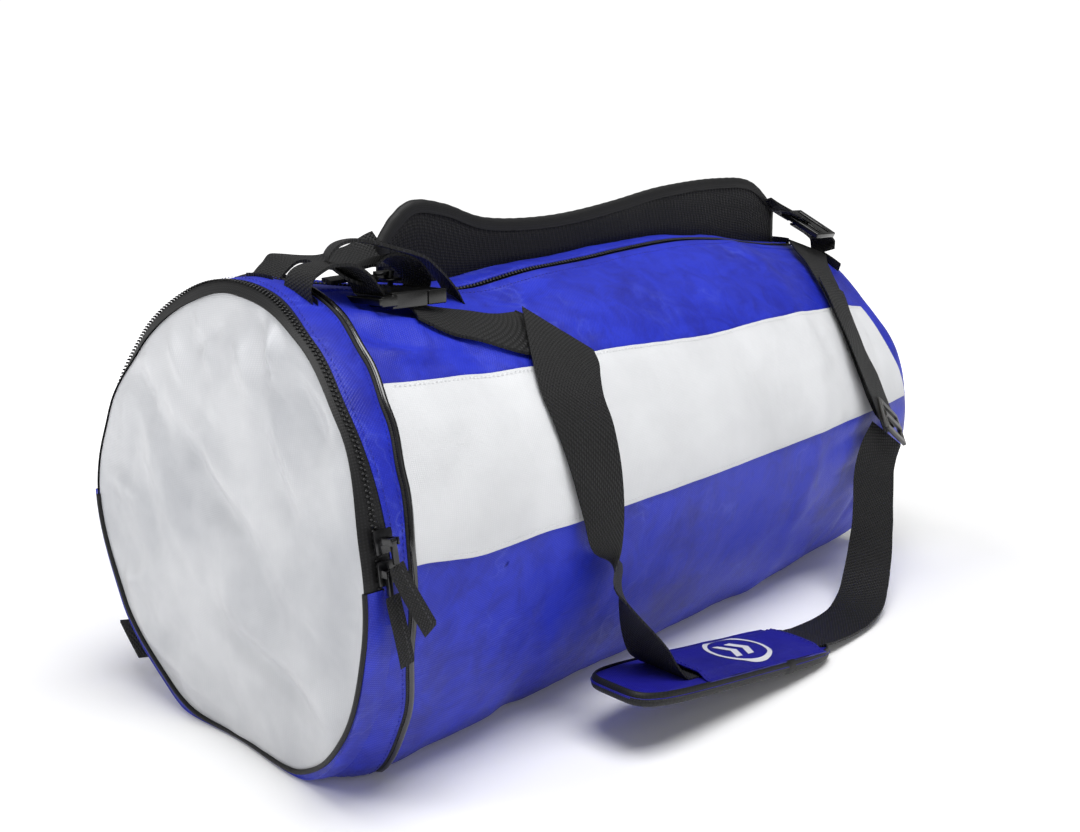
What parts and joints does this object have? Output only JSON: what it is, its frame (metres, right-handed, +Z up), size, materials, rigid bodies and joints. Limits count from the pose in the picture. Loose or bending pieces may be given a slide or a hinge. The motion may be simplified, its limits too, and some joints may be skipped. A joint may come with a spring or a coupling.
{
  "type": "barrel duffel bag",
  "caption": "Barrel-shaped sports duffel bag with a zipped end pocket, a top zip, a padded strap and a webbing carry strap with a sliding shoulder pad.",
  "frame": {"origin": "on the floor, under the middle of the barrel, at the centre of the flat base", "axes": "+X along the barrel from the pocket end to the plain end, -Y towards the striped front, +Z up"},
  "size_m": [0.6549, 0.3814, 0.356],
  "materials": {
    "blue_nylon": "satin woven",
    "white_cloth": "satin",
    "lining": "matt",
    "board": "matt",
    "zip_tape": "matt woven",
    "zip_coil": "satin",
    "piping": "gloss",
    "black_metal": "gloss",
    "buckle_plastic": "satin",
    "webbing": "coarse weave",
    "mesh_padding": "ribbed mesh",
    "binding": "smooth",
    "pad_foam": "matt"
  },
  "bodies": {
    "bag": {"body_panel": "blue_nylon", "front_stripe": "white_cloth", "back_top_panel": "blue_nylon", "near_top_panel": "blue_nylon", "far_top_panel": "blue_nylon", "main_zip_tape_fixed": "zip_tape", "main_zip_coil_fixed": "zip_coil", "zip_cover_back": "blue_nylon", "near_gusset": "blue_nylon", "end_zip_tape_fixed": "zip_tape", "end_zip_coil_fixed": "zip_coil", "end_panel_lower": "white_cloth", "far_end_panel": "white_cloth", "pocket_partition": "lining", "base_board": "board", "seam_piping": "piping", "end_panel_piping": "piping", "far_piping": "piping", "end_zip_garages": "blue_nylon", "seam_tabs_near": "webbing", "seam_tabs_far": "webbing", "rear_tab": "webbing"},
    "mouth": {"mouth_lip": "blue_nylon", "mouth_lip_zip_tape": "zip_tape", "mouth_lip_coil": "zip_coil", "mouth_lip_zip_cover": "blue_nylon"},
    "pocket_flap": {"end_flap": "white_cloth", "end_flap_zip_tape": "zip_tape", "end_flap_coil": "zip_coil"},
    "pocket_slider_a": {"end_zip_slider_a": "black_metal"},
    "pocket_pull_a": {"end_zip_puller_a": "black_metal", "end_zip_tab_a": "webbing"},
    "pocket_slider_b": {"end_zip_slider_b": "black_metal"},
    "pocket_pull_b": {"end_zip_puller_b": "black_metal", "end_zip_tab_b": "webbing"},
    "barrel_slider": {"main_zip_slider": "black_metal"},
    "barrel_pull": {"main_zip_puller": "black_metal", "main_zip_tab": "webbing"},
    "carry_strap": {"strap_near_run": "webbing", "strap_near_drop": "webbing", "strap_pad_webbing": "webbing", "strap_far_drop": "webbing", "strap_far_rise": "webbing", "strap_far_double": "webbing", "strap_near_slack": "webbing", "strap_near_loop": "webbing", "buckle_female": "buckle_plastic", "strap_far_loop": "webbing", "ladder_lock": "buckle_plastic", "ladder_tail": "webbing"},
    "buckle_plug": {"buckle_male": "buckle_plastic"},
    "tri_glide": {"tri_glide": "buckle_plastic"},
    "shoulder_pad": {"shoulder_pad_base": "pad_foam", "shoulder_pad_binding": "binding", "shoulder_pad_cover": "blue_nylon"},
    "padded_strap": {"padded_strap": "mesh_padding", "padded_strap_binding": "binding", "padded_strap_ends": "webbing"}
  },
  "joints": [
    {"name": "mouth_open", "type": "hinge", "parent": "bag", "child": "mouth", "pos_m": [0, -0.11147, 0.24337], "axis": [1, 0, 0], "range_deg": [0, 100]},
    {"name": "pocket_flap_fold", "type": "hinge", "parent": "bag", "child": "pocket_flap", "pos_m": [-0.325, 0, 0.18182], "axis": [0, -1, 0], "range_deg": [0, 150]},
    {"name": "pocket_zip_a", "type": "hinge", "parent": "bag", "child": "pocket_slider_a", "pos_m": [-0.312, 0, 0.143], "axis": [-1, 0, 0], "range_deg": [0, 158]},
    {"name": "pocket_pull_a_swing", "type": "hinge", "parent": "pocket_slider_a", "child": "pocket_pull_a", "pos_m": [-0.312, -0.15804, 0.17372], "axis": [-1, 0, 0], "range_deg": [0, 120]},
    {"name": "pocket_zip_b", "type": "hinge", "parent": "bag", "child": "pocket_slider_b", "pos_m": [-0.312, 0, 0.143], "axis": [-1, 0, 0], "range_deg": [-0.8, 0.8]},
    {"name": "pocket_pull_b_swing", "type": "hinge", "parent": "pocket_slider_b", "child": "pocket_pull_b", "pos_m": [-0.312, -0.15607, 0.15583], "axis": [-1, 0, 0], "range_deg": [0, 120]},
    {"name": "barrel_zip", "type": "slide", "parent": "bag", "child": "barrel_slider", "axis": [1, 0, 0], "range_m": [0, 0.46]},
    {"name": "barrel_pull_swing", "type": "hinge", "parent": "barrel_slider", "child": "barrel_pull", "pos_m": [-0.205, -0.02185, 0.29847], "axis": [0, 0.9903, 0.1392], "range_deg": [0, 100]},
    {"name": "carry_strap_swing", "type": "hinge", "parent": "bag", "child": "carry_strap", "pos_m": [0, -0.024, 0.297], "axis": [-1, 0, 0], "range_deg": [0, 88]},
    {"name": "buckle_release", "type": "slide", "parent": "carry_strap", "child": "buckle_plug", "axis": [1, 0, 0], "range_m": [0, 0.018]},
    {"name": "tri_glide_slide", "type": "slide", "parent": "carry_strap", "child": "tri_glide", "axis": [0.2489, 0.0659, 0.9663], "range_m": [-0.012, 0.012]},
    {"name": "pad_slide", "type": "slide", "parent": "carry_strap", "child": "shoulder_pad", "axis": [0.9862, -0.0608, -0.1542], "range_m": [-0.01, 0.01]},
    {"name": "padded_strap_lean", "type": "hinge", "parent": "bag", "child": "padded_strap", "pos_m": [-0.181, 0.018, 0.3], "axis": [-0.999, 0.0436, 0], "range_deg": [0, 70]}
  ]
}
